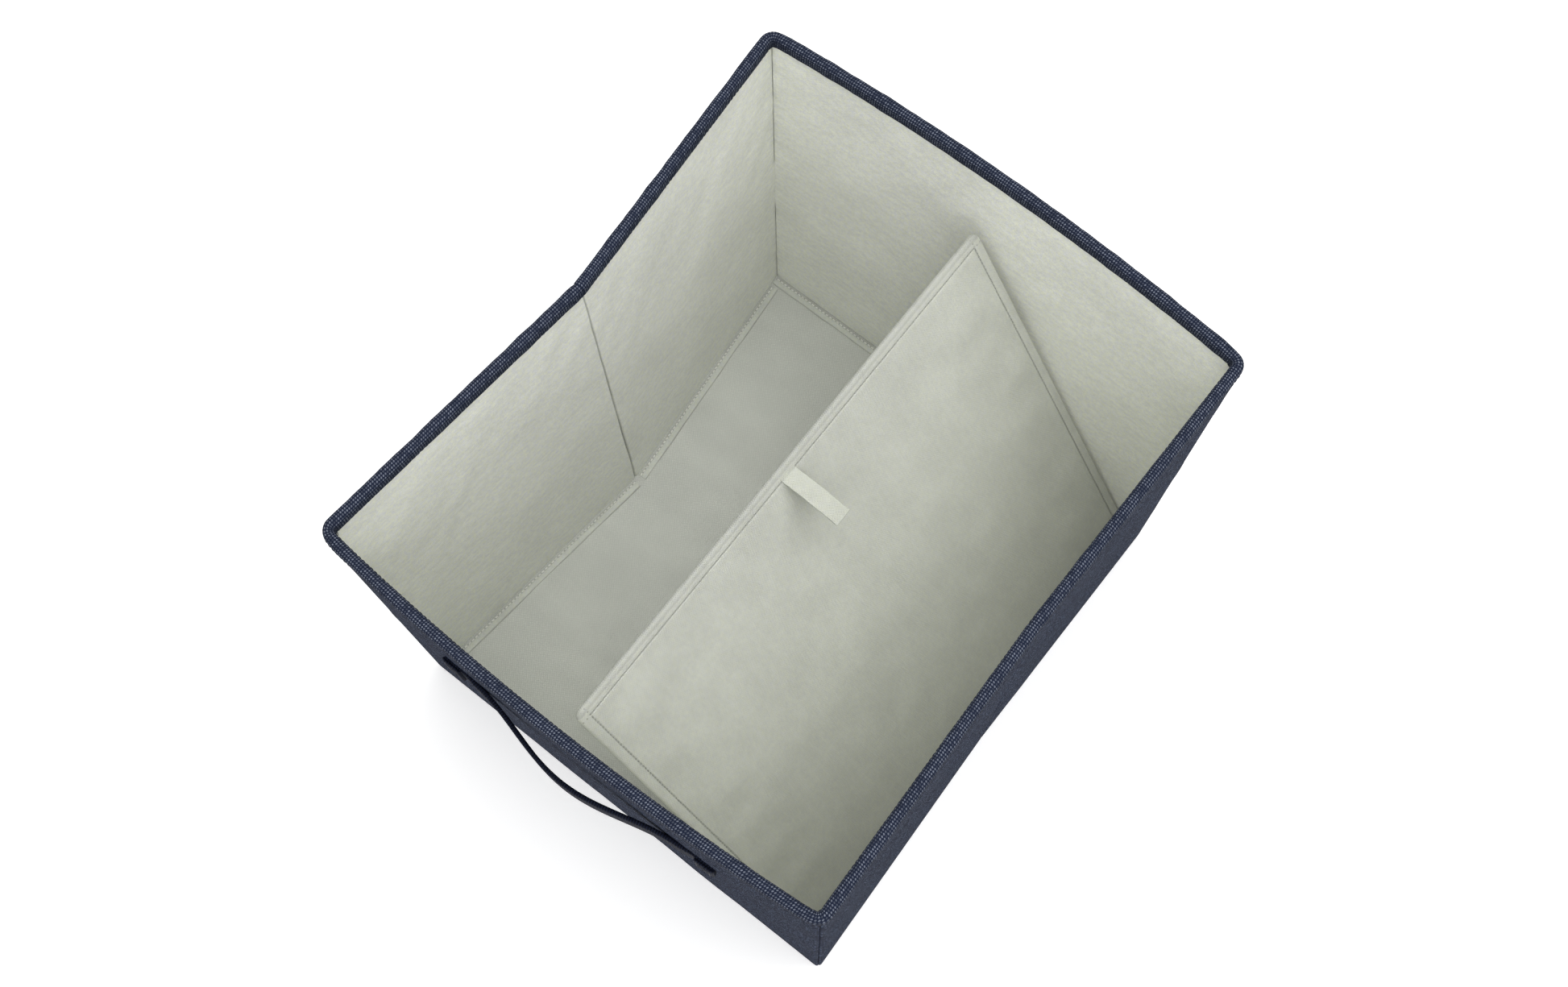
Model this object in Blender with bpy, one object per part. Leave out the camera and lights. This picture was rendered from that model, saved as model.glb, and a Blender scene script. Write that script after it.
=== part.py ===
"""A collapsible fabric storage bin, 13 x 15 x 13 inches, with a loose base insert tilted up inside it.

Each wall is a grey board between a woven outer cover and a lining, and a binding is folded over the
walls' top edge. The left wall is creased upright in the middle and folds in. A strap handle is sewn
to the front and to the back. Metres, +Z up, the origin under the middle of the base.
"""

from math import copysign, cos, pi, radians

import bmesh
import bpy
from mathutils import Matrix, Vector

# Wall corners in plan, on the middle of the wall's thickness: at the base and at the rim.
BASE = {
    "front_left": (-0.1623, -0.1856),
    "front_right": (0.1648, -0.1846),
    "back_right": (0.1608, 0.1847),
    "back_left": (-0.1614, 0.1862),
    "left_crease": (-0.1439, 0.0),
    "right_crease": (0.1588, 0.0),
}
RIM = {
    "front_left": (-0.1629, -0.1873),
    "front_right": (0.1622, -0.1851),
    "back_right": (0.1604, 0.1844),
    "back_left": (-0.1614, 0.1870),
    "left_crease": (-0.1467, 0.0),
    "right_crease": (0.1578, 0.0),
}
HEIGHT = 0.330
END_BOW = 0.0078  # how far the front and back walls bow out at the rim

GAP = 0.0003  # between meshes that touch
CORNER_GAP = 0.0011  # from an end wall's binding to a side wall, which may turn about the corner
CREASE_GAP = 0.0014  # from each half's end to the crease, which closes as the wall straightens
COVER_THICK = 0.0008
BOARD_THICK = 0.0024
LINING_THICK = 0.0006
WALL_THICK = COVER_THICK + BOARD_THICK + LINING_THICK + 2 * GAP

BASE_THICK = 0.0012
FLOOR_THICK = 0.0007
FLOOR_Z = BASE_THICK + GAP
WALL_Z = FLOOR_Z + FLOOR_THICK + GAP  # the side walls slide over the floor lining
WALL_TOP = HEIGHT - 0.004
SEAM_WIDTH = 0.007
SEAM_THICK = 0.0012
SEAM_CORNER_GAP = 0.0026  # leaves the turning halves' seams clear of the end walls'

RIM_WIDTH = 0.0070
RIM_BOTTOM = HEIGHT - 0.0100
RIM_ARC_STEPS = 6
STATIONS = 8  # cross-sections along a wall
LEVELS = 3  # bands up a wall

INSERT_PIVOT = (0.1553, 0.0, 0.0084)
INSERT_TILT = radians(59)
INSERT_WIDTH = 0.3140
INSERT_FRONT = -0.1782
INSERT_BACK = 0.1816
INSERT_THICK = 0.0044
INSERT_SKIN = 0.0007
INSERT_MARGIN = 0.0012  # from the board's edge to the insert's edge

TAB_FROM_EDGE = 0.0074
TAB_Y = 0.0003
TAB_WIDTH = 0.0114
TAB_LENGTH = 0.0380
TAB_THICK = 0.0012
TAB_LIFT = radians(50)

STRAP_Z = 0.222
STRAP_WIDTH = 0.022
STRAP_THICK = 0.0030
STRAP_END = 0.097
STRAP_LEAVES = 0.076
STRAP_FOLD = 0.084  # the strap's end is folded double beyond this
STRAP_BOW = 0.0120
GRIP_HALF = 0.0340
GRIP_STEPS = 10
HANDLE_AXIS_OUT = 0.1955


def clear_scene():
    for obj in list(bpy.data.objects):
        bpy.data.objects.remove(obj, do_unlink=True)


def make_material(name, colour, roughness):
    material = bpy.data.materials.new(name)
    material.use_nodes = True
    shader = material.node_tree.nodes["Principled BSDF"]
    shader.inputs["Base Color"].default_value = (*colour, 1.0)
    shader.inputs["Roughness"].default_value = roughness
    shader.inputs["Metallic"].default_value = 0.0
    return material


def make_hinge(name, location, rotation=(0.0, 0.0, 0.0), parent=None):
    """An empty on a joint's axis, for the pieces that turn about it."""
    hinge = bpy.data.objects.new(name, None)
    hinge.empty_display_size = 0.02
    hinge.parent = parent
    hinge.location = location
    hinge.rotation_euler = rotation
    bpy.context.collection.objects.link(hinge)
    bpy.context.view_layer.update()
    return hinge


def add_mesh(name, builder, material, parent=None, smooth=False):
    """Turns the finished bmesh, in world space, into an object of its own under its parent."""
    bmesh.ops.recalc_face_normals(builder, faces=builder.faces)
    mesh = bpy.data.meshes.new(name)
    builder.to_mesh(mesh)
    builder.free()
    obj = bpy.data.objects.new(name, mesh)
    bpy.context.collection.objects.link(obj)
    if parent:
        mesh.transform(parent.matrix_world.inverted())
        obj.parent = parent
    if smooth:
        mesh.shade_smooth()
        mesh.set_sharp_from_angle(angle=radians(40))
    # Each piece keeps a material of its own, so that its finish can change alone.
    own = material.copy()
    own.name = name
    mesh.materials.append(own)
    return obj


def loft(name, rings, material, parent=None, smooth=False):
    """A closed solid through rings of points, with a cap on each end.

    A ring runs up one side and down the other. The two sides are split along the same diagonals, so
    that thin layers lie parallel where they twist.
    """
    builder = bmesh.new()
    rows = [[builder.verts.new(point) for point in ring] for ring in rings]
    for row, following in zip(rows, rows[1:]):
        for k in range(len(row)):
            after = (k + 1) % len(row)
            a, b, c, d = row[k], following[k], following[after], row[after]
            if k < len(row) / 2:
                builder.faces.new((a, b, c))
                builder.faces.new((a, c, d))
            else:
                builder.faces.new((b, c, d))
                builder.faces.new((b, d, a))
    builder.faces.new(rows[0])
    builder.faces.new(reversed(rows[-1]))
    return add_mesh(name, builder, material, parent, smooth)


def extrude_outline(name, outline, low, high, material, parent=None):
    """A flat piece: its outline in plan, from the height low to the height high."""
    builder = bmesh.new()
    face = builder.faces.new([builder.verts.new((x, y, low)) for x, y in outline])
    moved = bmesh.ops.extrude_face_region(builder, geom=[face])["geom"]
    top = [item for item in moved if isinstance(item, bmesh.types.BMVert)]
    bmesh.ops.translate(builder, verts=top, vec=(0, 0, high - low))
    return add_mesh(name, builder, material, parent)


class Wall:
    """A straight or bowed wall between two corners, measured on the middle of its thickness."""

    def __init__(self, start, end, bow=0.0):
        self.base = Vector(BASE[start]), Vector(BASE[end])
        self.rim = Vector(RIM[start]), Vector(RIM[end])
        self.bow = bow
        self.length = (self.rim[1] - self.rim[0]).length
        along = (self.rim[1] - self.rim[0]).normalized()
        # The walls run anticlockwise seen from above, so outwards is to the right of the run.
        self.out = Vector((along.y, -along.x))

    def point(self, part, z, offset):
        """The point at this share of the length, this height, and this far outwards of the middle."""
        rise = z / HEIGHT
        base = self.base[0].lerp(self.base[1], part)
        rim = self.rim[0].lerp(self.rim[1], part)
        bulge = self.bow * rise * 4 * part * (1 - part)
        spot = base.lerp(rim, rise) + self.out * (bulge + offset)
        return Vector((spot.x, spot.y, z))

    def parts(self, trim_start, trim_end):
        """Shares of the length, from trim_start metres after the start to trim_end before the end."""
        first = trim_start / self.length
        last = 1 - trim_end / self.length
        return [first + (last - first) * k / STATIONS for k in range(STATIONS + 1)]

    def layer(self, name, trims, inner, outer, low, high, material, parent=None):
        """One layer of the wall, between two distances outwards of its middle."""
        levels = [low + (high - low) * k / LEVELS for k in range(LEVELS + 1)]
        section = [(inner, z) for z in levels] + [(outer, z) for z in reversed(levels)]
        return self.sweep(name, section, trims, material, parent)

    def sweep(self, name, section, trims, material, parent, smooth=False):
        """A section of offsets and heights, carried along the wall."""
        rings = [[self.point(part, z, offset) for offset, z in section] for part in self.parts(*trims)]
        return loft(name, rings, material, parent, smooth)

    def binding(self, name, trims, material, parent=None):
        """The folded strip over the wall's top: a U with a round back."""
        half = RIM_WIDTH / 2
        slot = WALL_THICK / 2 + GAP
        centre = HEIGHT - half
        section = [(-slot, RIM_BOTTOM), (-slot, WALL_TOP + GAP), (slot, WALL_TOP + GAP)]
        section += [(slot, RIM_BOTTOM), (half, RIM_BOTTOM)]
        for k in range(RIM_ARC_STEPS + 1):
            turn = Matrix.Rotation(pi * k / RIM_ARC_STEPS, 2) @ Vector((half, 0))
            section.append((turn.x, centre + turn.y))
        section.append((-half, RIM_BOTTOM))
        return self.sweep(name, section, trims, material, parent, smooth=True)


def build_wall(name, wall, trims, rim_trims, finish, parent=None):
    """A wall's three layers and the binding over them."""
    lining_in = -WALL_THICK / 2
    board_in = lining_in + LINING_THICK + GAP
    cover_in = board_in + BOARD_THICK + GAP
    cover_out = cover_in + COVER_THICK
    board_out = board_in + BOARD_THICK
    lining_out = lining_in + LINING_THICK
    for layer, inner, outer in (
        ("cover", cover_in, cover_out),
        ("board", board_in, board_out),
        ("lining", lining_in, lining_out),
    ):
        wall.layer(f"{name}_{layer}", trims, inner, outer, WALL_Z, WALL_TOP, finish[layer], parent)
    wall.binding(f"{name}_rim", rim_trims, finish["rim"], parent)


def build_end_walls(finish):
    """The front and back walls, which run past the side walls' ends."""
    over = -WALL_THICK / 2
    rim_over = -RIM_WIDTH / 2
    for name, start, end in (
        ("front", "front_left", "front_right"),
        ("back", "back_right", "back_left"),
    ):
        wall = Wall(start, end, END_BOW)
        build_wall(name, wall, (over, over), (rim_over, rim_over), finish)


def build_side_walls(finish, hinges):
    """Four half walls between the end walls' bindings. The left pair turns about the corners."""
    for name, start, end, crease_gap in (
        ("left_front", "left_crease", "front_left", CREASE_GAP),
        ("left_rear", "back_left", "left_crease", CREASE_GAP),
        ("right_front", "front_right", "right_crease", GAP),
        ("right_rear", "right_crease", "back_right", GAP),
    ):
        trims = [RIM_WIDTH / 2 + CORNER_GAP, crease_gap]
        if start.endswith("crease"):
            trims.reverse()
        build_wall(name, Wall(start, end), trims, trims, finish, hinges.get(name))


def base_outline(inset):
    """The base's plan, this far inside the walls' middle."""
    outline = []
    for name in ("front_left", "front_right", "right_crease", "back_right", "back_left", "left_crease"):
        x, y = BASE[name]
        side_x = copysign(1, x)
        side_y = copysign(1, y) if y else 0.0
        outline.append((x - side_x * inset, y - side_y * inset))
    return outline


def build_floor(finish, hinges):
    """The bottom cover, the floor lining over it, and the seam allowance round the floor."""
    outside = -WALL_THICK / 2
    extrude_outline("base_cover", base_outline(outside), 0.0, BASE_THICK, finish["cover"])
    # The walls stand on the lining's edge, so it reaches under them.
    floor_top = FLOOR_Z + FLOOR_THICK
    extrude_outline("floor_lining", base_outline(0.0), FLOOR_Z, floor_top, finish["lining"])
    low = floor_top + GAP
    near = -(WALL_THICK / 2 + GAP)
    far = near - SEAM_WIDTH
    corner = WALL_THICK / 2 + SEAM_WIDTH + SEAM_CORNER_GAP
    for name, start, end, crease in (
        ("front", "front_left", "front_right", None),
        ("back", "back_right", "back_left", None),
        ("left_front", "left_crease", "front_left", "start"),
        ("left_rear", "back_left", "left_crease", "end"),
        ("right_front", "front_right", "right_crease", "end"),
        ("right_rear", "right_crease", "back_right", "start"),
    ):
        ends = [corner, corner]
        if crease:
            ends[crease == "end"] = CREASE_GAP
        seam = f"{name}_floor_seam"
        wall = Wall(start, end)
        wall.layer(seam, ends, far, near, low, low + SEAM_THICK, finish["lining"], hinges.get(name))


def build_insert(finish, hinge, tab_hinge):
    """A board in two skins of lining, lying along -X of its hinge with its top face at the axis."""
    edge = -INSERT_WIDTH
    board_low = -INSERT_THICK + INSERT_SKIN + GAP
    for name, margin, low, high, material in (
        ("insert_bottom_cover", 0.0, -INSERT_THICK, -INSERT_THICK + INSERT_SKIN, "lining"),
        ("insert_board", INSERT_MARGIN, board_low, -INSERT_SKIN - GAP, "board"),
        ("insert_top_cover", 0.0, -INSERT_SKIN, 0.0, "lining"),
    ):
        front, back = INSERT_FRONT + margin, INSERT_BACK - margin
        outline = [(edge + margin, front), (-margin, front), (-margin, back), (edge + margin, back)]
        panel = extrude_outline(name, outline, low, high, finish[material])
        panel.parent = hinge
    half = TAB_WIDTH / 2
    outline = [(0.0, -half), (TAB_LENGTH, -half), (TAB_LENGTH, half), (0.0, half)]
    tab = extrude_outline("pull_tab", outline, 0.0, TAB_THICK, finish["lining"])
    tab.parent = tab_hinge


def strap_path(x):
    """The strap's middle at x, as its distance in front of the bin's middle."""
    wall = Wall("front_left", "front_right", END_BOW)
    face = wall.point(x / wall.length + 0.5, STRAP_Z, WALL_THICK / 2)
    bow = STRAP_BOW * (1 + cos(pi * x / STRAP_LEAVES)) / 2 if abs(x) < STRAP_LEAVES else 0.0
    return -face.y + GAP + STRAP_THICK / 2 + bow


def build_strap(name, first, last, side, material, parent=None):
    """A stretch of a handle's strap. side is -1 at the front and 1 at the back."""
    rings = []
    low, high = STRAP_Z - STRAP_WIDTH / 2, STRAP_Z + STRAP_WIDTH / 2
    for k in range(GRIP_STEPS + 1):
        x = first + (last - first) * k / GRIP_STEPS
        inner = strap_path(x) - STRAP_THICK / 2
        folded = STRAP_THICK * 0.8 if abs(x) > STRAP_FOLD else 0.0
        outer = inner + STRAP_THICK + folded
        corners = ((inner, low), (inner, high), (outer, high), (outer, low))
        rings.append([(x, side * y, z) for y, z in corners])
    return loft(name, rings, material, parent, smooth=True)


def build_handles(finish, hinges):
    """Each handle's strap: an end sewn down at each side and the grip that swings between them."""
    for place, side in (("front", -1), ("back", 1)):
        inner_end = GRIP_HALF + GAP
        build_strap(f"{place}_handle_left_end", -STRAP_END, -inner_end, side, finish["webbing"])
        build_strap(f"{place}_handle_right_end", inner_end, STRAP_END, side, finish["webbing"])
        grip_hinge = hinges[f"{place}_handle"]
        build_strap(f"{place}_handle_grip", -GRIP_HALF, GRIP_HALF, side, finish["webbing"], grip_hinge)


def main():
    clear_scene()
    finish = {
        "cover": make_material("woven_cover", (0.052, 0.066, 0.100), 0.85),
        "rim": make_material("woven_rim", (0.110, 0.125, 0.160), 0.85),
        "lining": make_material("lining", (0.500, 0.515, 0.450), 0.80),
        "board": make_material("grey_board", (0.300, 0.290, 0.270), 0.90),
        "webbing": make_material("webbing", (0.010, 0.013, 0.030), 0.75),
    }
    hinges = {
        "left_front": make_hinge("left_front_hinge", (*RIM["front_left"], 0.0)),
        "left_rear": make_hinge("left_rear_hinge", (*RIM["back_left"], 0.0)),
        "front_handle": make_hinge("front_handle_hinge", (0.0, -HANDLE_AXIS_OUT, STRAP_Z)),
        "back_handle": make_hinge("back_handle_hinge", (0.0, HANDLE_AXIS_OUT, STRAP_Z)),
    }
    insert_hinge = make_hinge("insert_hinge", INSERT_PIVOT, (0.0, INSERT_TILT, 0.0))
    tab_hinge = make_hinge(
        "pull_tab_hinge",
        (-INSERT_WIDTH + TAB_FROM_EDGE, TAB_Y, 2 * GAP),
        (0.0, -TAB_LIFT, 0.0),
        insert_hinge,
    )
    build_end_walls(finish)
    build_side_walls(finish, hinges)
    build_floor(finish, hinges)
    build_insert(finish, insert_hinge, tab_hinge)
    build_handles(finish, hinges)


main()
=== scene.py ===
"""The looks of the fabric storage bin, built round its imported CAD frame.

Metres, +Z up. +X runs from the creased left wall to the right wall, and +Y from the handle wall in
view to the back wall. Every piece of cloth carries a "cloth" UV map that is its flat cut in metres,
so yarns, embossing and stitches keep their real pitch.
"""

from math import cos, pi, radians, sin, sqrt, tan

import bmesh
import bpy
import numpy as np
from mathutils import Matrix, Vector


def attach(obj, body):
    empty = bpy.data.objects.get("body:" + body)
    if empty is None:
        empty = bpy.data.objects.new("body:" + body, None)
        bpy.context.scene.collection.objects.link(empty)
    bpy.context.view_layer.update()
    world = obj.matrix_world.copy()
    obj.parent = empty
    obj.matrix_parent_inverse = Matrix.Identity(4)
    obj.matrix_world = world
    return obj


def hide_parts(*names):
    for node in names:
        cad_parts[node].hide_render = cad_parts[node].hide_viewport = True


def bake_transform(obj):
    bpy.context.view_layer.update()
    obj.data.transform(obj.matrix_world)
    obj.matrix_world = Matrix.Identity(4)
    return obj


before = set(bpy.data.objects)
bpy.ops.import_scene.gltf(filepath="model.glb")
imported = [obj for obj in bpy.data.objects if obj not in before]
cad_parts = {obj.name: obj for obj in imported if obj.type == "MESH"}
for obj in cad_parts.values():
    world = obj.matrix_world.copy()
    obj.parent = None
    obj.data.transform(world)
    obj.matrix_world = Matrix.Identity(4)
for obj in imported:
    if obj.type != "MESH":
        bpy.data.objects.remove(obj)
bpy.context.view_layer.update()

MM = 0.001
UP = np.array((0.0, 0.0, 1.0))

# Each corner at the base and at the rim, on the middle of the walls' thickness, as in the CAD source.
CORNERS = {
    "front_left": ((-0.1623, -0.1856), (-0.1629, -0.1873)),
    "front_right": ((0.1648, -0.1846), (0.1622, -0.1851)),
    "right_crease": ((0.1588, 0.0), (0.1578, 0.0)),
    "back_right": ((0.1608, 0.1847), (0.1604, 0.1844)),
    "back_left": ((-0.1614, 0.1862), (-0.1614, 0.1870)),
    "left_crease": ((-0.1439, 0.0), (-0.1467, 0.0)),
}
BASE, RIM = ({name: places[k] for name, places in CORNERS.items()} for k in (0, 1))
HEIGHT = 0.330
END_BOW = 0.0078
WALLS = {
    "left_front": ("left_crease", "front_left", 0.0),
    "front": ("front_left", "front_right", END_BOW),
    "right_front": ("front_right", "right_crease", 0.0),
    "right_rear": ("right_crease", "back_right", 0.0),
    "back": ("back_right", "back_left", END_BOW),
    "left_rear": ("back_left", "left_crease", 0.0),
}
RUNS = {
    "front": ("left_front", "front", "right_front"),
    "rear": ("right_rear", "back", "left_rear"),
}
# The way from each left corner that tells the turning half from the fixed walls.
FOLD_BODY = {"front": "left_front_half", "rear": "left_rear_half"}

LINING_AT = -0.0020
LINING_THICK = 0.0005
COVER_AT = 0.0019
COVER_THICK = 0.0007
BOARD_INNER, BOARD_OUTER = -0.0013, 0.0011
BOARD_HEIGHTS = (0.0030, 0.3255)
LINING_ROUND = 0.0026
LINING_CREASE = 0.0009  # half the width of its fold at a crease
COVER_ROUND = 0.0012
RIM_ROUND = 0.0054

RIM_HALF = 0.0034
RIM_CLOTH = 0.0009
RIM_BOTTOM = 0.3204
RIM_CENTRE = HEIGHT - RIM_HALF

INSERT_PIVOT = np.array((0.1553, 0.0, 0.0084))
INSERT_TILT = radians(59)
INSERT_WIDTH = 0.3140
INSERT_FRONT, INSERT_BACK = -0.1782, 0.1816
INSERT_THICK = 0.0044
HEM = 0.0070  # from the insert's edge to its stitched groove

TAB_FROM_EDGE = 0.0074
TAB_Y = 0.0003
TAB_WIDTH = 0.0114
TAB_LENGTH = 0.0380
TAB_LIFT = radians(50)

STRAP_Z = 0.222
STRAP_WIDTH = 0.022
STRAP_THICK = 0.0028
STRAP_OFF = 0.0003  # from the cover
STRAP_PRESSED = 0.60  # share of its thickness left where it is sewn down
STRAP_END = 0.097
STRAP_LEAVES = 0.076
STRAP_FOLD = 0.084
STRAP_BOW = 0.0120

SEAM_WIDTH = 0.0062
SEAM_STITCHED = 0.26  # share of its width from the wall to its stitches

PANEL_STITCH = 0.0029  # from one of the insert's stitches to the next
SEAM_STEP = 0.0031  # from the middle of a wall to its floor seam's edge

CLOTH = "cloth"  # the UV map
FOLD_SHADE = "fold"  # the attribute that tells where a wall's cloth folds, for the painted shade there


# ---- shapes


def wall_ends(name):
    """A wall's two ends in plan: at the base and at the rim."""
    ends = np.array([CORNERS[corner] for corner in WALLS[name][:2]])
    return ends[:, 0], ends[:, 1]


def wall_body(name):
    """The body that a wall's stiff pieces ride."""
    side, _, half = name.partition("_")
    return FOLD_BODY[half] if side == "left" else "root"


def unevenness(u, v, seed, wave, count=7):
    """Soft waves about this long over the cloth, of about -1 to 1, the same in every run."""
    draw = np.random.default_rng(seed)
    total = np.zeros(np.broadcast(u, v).shape)
    for _ in range(count):
        angle, stretch, phase = draw.uniform((0, 0.7, 0), (pi, 1.6, 2 * pi))
        total += np.sin(2 * pi * (u * cos(angle) + v * sin(angle)) / (wave * stretch) + phase)
    return total / sqrt(count)


def smooth(x, low, high):
    """0 below low, 1 above high, with a soft change between."""
    share = np.clip((x - low) / (high - low), 0.0, 1.0)
    return share * share * (3 - 2 * share)


def bump(x, middle, width):
    return np.exp(-(((x - middle) / width) ** 2))


def joined(*fields):
    """The fields side by side, along a new last axis."""
    return np.stack(np.broadcast_arrays(*fields), axis=-1)


def raised(plan, z):
    """Places in plan, brought to these heights."""
    return joined(plan[..., 0], plan[..., 1], z)


def unit(ways):
    return ways / np.linalg.norm(ways, axis=-1, keepdims=True)


def distances(points):
    """How far along the line of points each one is."""
    steps = np.linalg.norm(np.diff(points, axis=0), axis=1)
    return np.concatenate(([0.0], np.cumsum(steps)))


def cloth_mesh(name, points, faces, cut, material):
    """A mesh whose UV map is each point's place on the flat cloth."""
    mesh = bpy.data.meshes.new(name)
    mesh.from_pydata(points.reshape(-1, 3).tolist(), [], faces)
    order = np.empty(len(mesh.loops), np.int32)
    mesh.loops.foreach_get("vertex_index", order)
    layer = mesh.uv_layers.new(name=CLOTH)
    layer.data.foreach_set("uv", cut.reshape(-1, 2)[order].astype(np.float32).ravel())
    mesh.shade_smooth()
    mesh.materials.append(material)
    return mesh


def put_in_scene(data):
    thing = bpy.data.objects.new(data.name, data)
    bpy.context.scene.collection.objects.link(thing)
    return thing


def belong(piece, slot, *nodes, body=None):
    """Puts a piece on a body, if one is given, and hides the CAD nodes in whose place it stands. slot is not
    used.
    """
    if body:
        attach(piece, body)
    if nodes:
        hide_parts(*nodes)


def lay(name, points, cut, material, thick=0.0, weld=False, side=0.0):
    """Makes a piece from a grid of points. cut gives each point's place on the flat cloth.

    thick adds a second face. weld joins edges that lie on each other and closes the open ends.
    """
    rows, columns = points.shape[:2]
    index = np.arange(rows * columns).reshape(rows, columns)
    faces = joined(index[:-1, :-1], index[1:, :-1], index[1:, 1:], index[:-1, 1:])
    mesh = cloth_mesh(name, points, faces.reshape(-1, 4).tolist(), cut, material)
    if weld:
        close(mesh)
    piece = put_in_scene(mesh)
    if thick:
        thicken(piece, thick, side)
    return piece


def thicken(piece, thick, side):
    """Gives a sheet its second face. Its cut edges stay crisp."""
    solid = piece.modifiers.new("thickness", "SOLIDIFY")
    solid.thickness, solid.offset = thick, side
    graph = bpy.context.evaluated_depsgraph_get()
    mesh = bpy.data.meshes.new_from_object(piece.evaluated_get(graph))
    piece.modifiers.clear()
    flat, piece.data = piece.data, mesh
    mesh.set_sharp_from_angle(angle=radians(50))
    bpy.data.meshes.remove(flat)
    mesh.name = piece.name


def close(mesh):
    """Joins points that lie on each other, and fills the open ends."""
    builder = bmesh.new()
    builder.from_mesh(mesh)
    bmesh.ops.remove_doubles(builder, verts=builder.verts, dist=1e-6)
    ends = [edge for edge in builder.edges if edge.is_boundary]
    bmesh.ops.holes_fill(builder, edges=ends, sides=0)
    bmesh.ops.recalc_face_normals(builder, faces=builder.faces)
    builder.to_mesh(mesh)
    builder.free()


def tube(name, rings, material):
    """A closed piece through closed rings of points."""
    rings = np.concatenate((rings, rings[:, :1]), axis=1)
    along = distances(rings.mean(axis=1))
    across = distances(rings[len(rings) // 2])
    return lay(name, rings, joined(along[:, None], across), material, weld=True)


STITCH_STEPS = np.linspace(-1, 1, 7)
STITCH_SIDES = np.linspace(0, 2 * pi, 7)[:-1]


def sew(name, line, normals, material, pitch, length, thread, seed, sink=0.35):
    """Stitches along a line on the cloth: each a short thread that dips in at both ends.

    normals is the cloth's outward way, at each point of the line or for all of it.
    """
    along = distances(line)
    middles = np.arange(pitch / 2, along[-1] - pitch / 4, pitch)
    draw = np.random.default_rng(seed)
    halves = length / 2 * draw.uniform(0.9, 1.08, len(middles))
    starts = at_distance(line, along, middles - halves)
    ends = at_distance(line, along, middles + halves)
    rise = unit(at_distance(np.broadcast_to(normals, line.shape), along, middles))
    side = unit(np.cross(ends - starts, rise))
    turned = side * draw.uniform(-0.5, 0.5, (len(middles), 1)) * thread
    share = (STITCH_STEPS[None, :, None] + 1) / 2
    spine = (starts - turned)[:, None] * (1 - share) + (ends + turned)[:, None] * share
    arch = thread * (1 - sink) - thread * (1.2 - sink) * STITCH_STEPS**4
    spine += rise[:, None] * arch[None, :, None]
    girth = thread * np.sqrt(np.clip(1.02 - STITCH_STEPS**6, 0.02, 1.0))
    side, rise = side[:, None, None], rise[:, None, None]
    ring = np.cos(STITCH_SIDES)[:, None] * side + np.sin(STITCH_SIDES)[:, None] * rise
    points = spine[:, :, None] + ring * girth[None, :, None, None]
    count, steps, sides = points.shape[:3]
    index = np.arange(count * steps * sides).reshape(count, steps, sides)
    following = np.roll(index, -1, axis=2)
    faces = joined(index[:, :-1], index[:, 1:], following[:, 1:], following[:, :-1]).reshape(-1, 4).tolist()
    faces += index[:, 0, ::-1].tolist() + index[:, -1].tolist()
    flow = middles[:, None, None] + STITCH_STEPS[None, :, None] * length / 2
    return put_in_scene(cloth_mesh(name, points, faces, joined(flow, STITCH_SIDES * thread), material))


def at_distance(values, along, places):
    """The line's values at these distances along it."""
    return np.stack([np.interp(places, along, values[:, k]) for k in range(3)], axis=1)


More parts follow.
